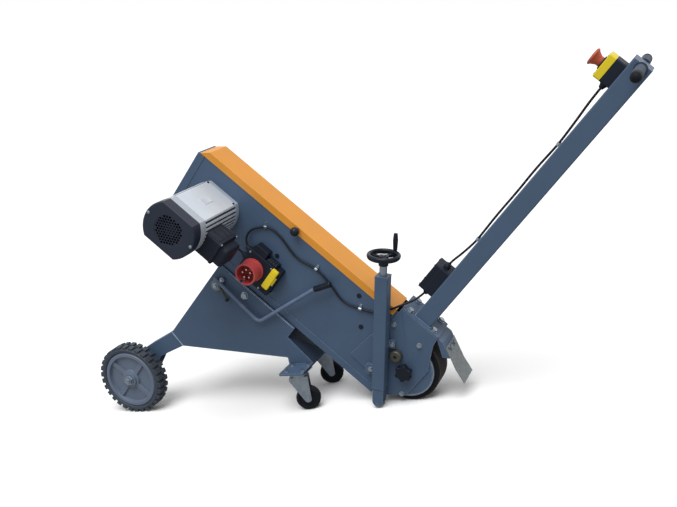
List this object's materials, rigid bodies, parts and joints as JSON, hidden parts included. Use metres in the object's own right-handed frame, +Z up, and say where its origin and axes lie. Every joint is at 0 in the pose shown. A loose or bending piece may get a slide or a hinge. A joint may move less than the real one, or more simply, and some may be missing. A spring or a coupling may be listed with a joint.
{
  "type": "belt sanding machine",
  "caption": "Wheeled walk-behind belt sanding machine: slanted belt housing with motor, contact wheel at the floor, depth column, clamp lever and a long handle arm with emergency stop.",
  "frame": {"origin": "bottom centre of the overall box, on the floor", "axes": "+X forward to the handle end, +Y to the side away from the motor, +Z up"},
  "size_m": [1.8228, 0.5084, 0.9139],
  "materials": {
    "blue_grey_paint": "semi-gloss paint",
    "orange_paint": "semi-gloss paint",
    "dark_paint": "semi-gloss paint",
    "bare_steel": "turned",
    "zinc": "zinc plated",
    "aluminium": "cast, as extruded",
    "black_plastic": "matt",
    "black_rubber": "matt",
    "wheel_rubber": "matt",
    "abrasive_cloth": "abrasive",
    "grey_plastic": "satin",
    "yellow_plastic": "satin",
    "red_plastic": "satin",
    "green_plastic": "satin",
    "brass": "plated"
  },
  "bodies": {
    "frame": {"near_side_panel": "blue_grey_paint", "far_side_panel": "blue_grey_paint", "rear_hood": "blue_grey_paint", "bottom_pan": "blue_grey_paint", "wheel_guard": "blue_grey_paint", "contact_axle": "bare_steel", "sanding_belt": "abrasive_cloth", "motor_body": "aluminium", "motor_end_shields": "aluminium", "fan_cover": "dark_paint", "terminal_box": "black_plastic", "mains_inlet": "red_plastic", "inlet_pins": "brass", "switch_box": "black_plastic", "handle_arm": "blue_grey_paint", "head_top_plate": "blue_grey_paint", "handle_grips": "black_rubber", "estop_base": "black_plastic", "estop_lid": "yellow_plastic", "junction_box": "black_plastic", "glands_and_plugs": "black_plastic", "control_cables": "black_rubber", "cable_clips": "zinc", "rear_leg": "blue_grey_paint", "caster_plates": "zinc", "column_tube": "blue_grey_paint", "head_near_plate": "blue_grey_paint", "head_far_plate": "blue_grey_paint", "undercarriage_frame": "blue_grey_paint", "frame_bolts": "zinc"},
    "cover": {"top_cover": "orange_paint"},
    "clamp_knob": {"cover_knob": "black_plastic"},
    "spark_guard": {"spark_plate": "zinc"},
    "contact_wheel": {"contact_hub": "aluminium", "contact_tyre": "black_rubber", "contact_bearings": "bare_steel"},
    "rotor": {"motor_rotor": "bare_steel", "drive_wheel": "aluminium"},
    "tensioner": {"tension_arm": "zinc"},
    "idler": {"tension_roller": "bare_steel"},
    "tracking": {"tracking_knob": "black_plastic"},
    "lever": {"clamp_lever": "blue_grey_paint", "lever_grip": "black_plastic", "cam_shaft": "bare_steel"},
    "flap": {"switch_flap": "yellow_plastic"},
    "start": {"start_button": "green_plastic"},
    "stop": {"stop_button": "red_plastic"},
    "emergency_stop": {"estop_button": "red_plastic"},
    "rear_wheel": {"rear_hub": "grey_plastic", "rear_tyre": "wheel_rubber"},
    "near_swivel": {"near_caster_fork": "zinc"},
    "near_roll": {"near_caster_wheel": "wheel_rubber"},
    "far_swivel": {"far_caster_fork": "zinc"},
    "far_roll": {"far_caster_wheel": "wheel_rubber"},
    "depth_wheel": {"handwheel": "black_plastic", "depth_spindle": "bare_steel"},
    "crank": {"crank_handle": "black_plastic"},
    "depth_slide": {"column_slide": "blue_grey_paint"},
    "depth_roll": {"depth_roller": "zinc"}
  },
  "joints": [
    {"name": "cover_lift", "type": "slide", "parent": "frame", "child": "cover", "axis": [0.7314, 0, 0.682], "range_m": [0, 0.06]},
    {"name": "clamp_knob_turn", "type": "hinge", "parent": "frame", "child": "clamp_knob", "pos_m": [-0.09707, -0.01175, 0.55128], "axis": [0, 1, 0], "range_deg": [-360, 360]},
    {"name": "spark_plate_slide", "type": "slide", "parent": "frame", "child": "spark_guard", "axis": [-0.257, 0, 0.9664], "range_m": [0, 0.008]},
    {"name": "rotor_spin", "type": "hinge", "parent": "frame", "child": "rotor", "pos_m": [-0.35192, 0.05085, 0.64862], "axis": [0, 1, 0], "continuous": true},
    {"name": "contact_wheel_spin", "type": "hinge", "parent": "frame", "child": "contact_wheel", "pos_m": [0.15754, 0.05085, 0.1023], "axis": [0, 1, 0], "continuous": true},
    {"name": "tensioner_swing", "type": "hinge", "parent": "frame", "child": "tensioner", "pos_m": [-0.2507, 0.05085, 0.52834], "axis": [0, 1, 0], "range_deg": [-10, 0], "stiffness_Nm_per_rad": 3, "springref_deg": 17.19},
    {"name": "idler_spin", "type": "hinge", "parent": "tensioner", "child": "idler", "pos_m": [-0.17143, 0.05085, 0.35614], "axis": [0, 1, 0], "continuous": true},
    {"name": "tracking_knob_turn", "type": "hinge", "parent": "frame", "child": "tracking", "pos_m": [0.15754, -0.03115, 0.1023], "axis": [0, 1, 0], "range_deg": [-360, 360]},
    {"name": "clamp_lever_swing", "type": "hinge", "parent": "frame", "child": "lever", "pos_m": [-0.40637, 0.05085, 0.40642], "axis": [0, 1, 0], "range_deg": [0, 30]},
    {"name": "switch_flap_open", "type": "hinge", "parent": "frame", "child": "flap", "pos_m": [-0.1906, -0.03195, 0.40964], "axis": [0.7314, 0, 0.682], "range_deg": [0, 100]},
    {"name": "start_button_press", "type": "slide", "parent": "frame", "child": "start", "axis": [0, 1, 0], "range_m": [0, 0.003], "stiffness_N_per_m": 500},
    {"name": "stop_button_press", "type": "slide", "parent": "frame", "child": "stop", "axis": [0, 1, 0], "range_m": [0, 0.003], "stiffness_N_per_m": 500},
    {"name": "emergency_stop_press", "type": "slide", "parent": "frame", "child": "emergency_stop", "axis": [0.682, 0, -0.7314], "range_m": [0, 0.004], "stiffness_N_per_m": 1500},
    {"name": "rear_wheel_spin", "type": "hinge", "parent": "frame", "child": "rear_wheel", "pos_m": [-0.79446, -0.03765, 0.117], "axis": [0, 1, 0], "continuous": true},
    {"name": "near_caster_swivel", "type": "hinge", "parent": "frame", "child": "near_swivel", "pos_m": [-0.17247, -0.04115, 0], "axis": [0, 0, 1], "continuous": true},
    {"name": "near_caster_spin", "type": "hinge", "parent": "near_swivel", "child": "near_roll", "pos_m": [-0.1582, -0.03651, 0.0375], "axis": [-0.309, 0.9511, 0], "continuous": true},
    {"name": "far_caster_swivel", "type": "hinge", "parent": "frame", "child": "far_swivel", "pos_m": [-0.17247, 0.14285, 0], "axis": [0, 0, 1], "continuous": true},
    {"name": "far_caster_spin", "type": "hinge", "parent": "far_swivel", "child": "far_roll", "pos_m": [-0.1582, 0.14749, 0.0375], "axis": [-0.309, 0.9511, 0], "continuous": true},
    {"name": "depth_wheel_turn", "type": "hinge", "parent": "frame", "child": "depth_wheel", "pos_m": [0.16916, -0.02615, 0.46185], "axis": [0.225, 0, 0.9744], "range_deg": [-1800, 1800]},
    {"name": "crank_handle_spin", "type": "hinge", "parent": "depth_wheel", "child": "crank", "pos_m": [0.19104, 0.01022, 0.46327], "axis": [0.225, 0, 0.9744], "continuous": true},
    {"name": "depth_slide_move", "type": "slide", "parent": "frame", "child": "depth_slide", "axis": [0.225, 0, 0.9744], "range_m": [-0.0201, 0.0201]},
    {"name": "depth_roller_spin", "type": "hinge", "parent": "depth_slide", "child": "depth_roll", "pos_m": [0.06577, -0.02615, 0.014], "axis": [0, 1, 0], "continuous": true}
  ],
  "couplings": [
    {"joint": "contact_wheel_spin", "follows": "rotor_spin", "ratio": 0.60914},
    {"joint": "idler_spin", "follows": "rotor_spin", "ratio": 2.7273},
    {"joint": "depth_slide_move", "follows": "depth_wheel_turn", "m_per_rad": 0.00063662}
  ]
}
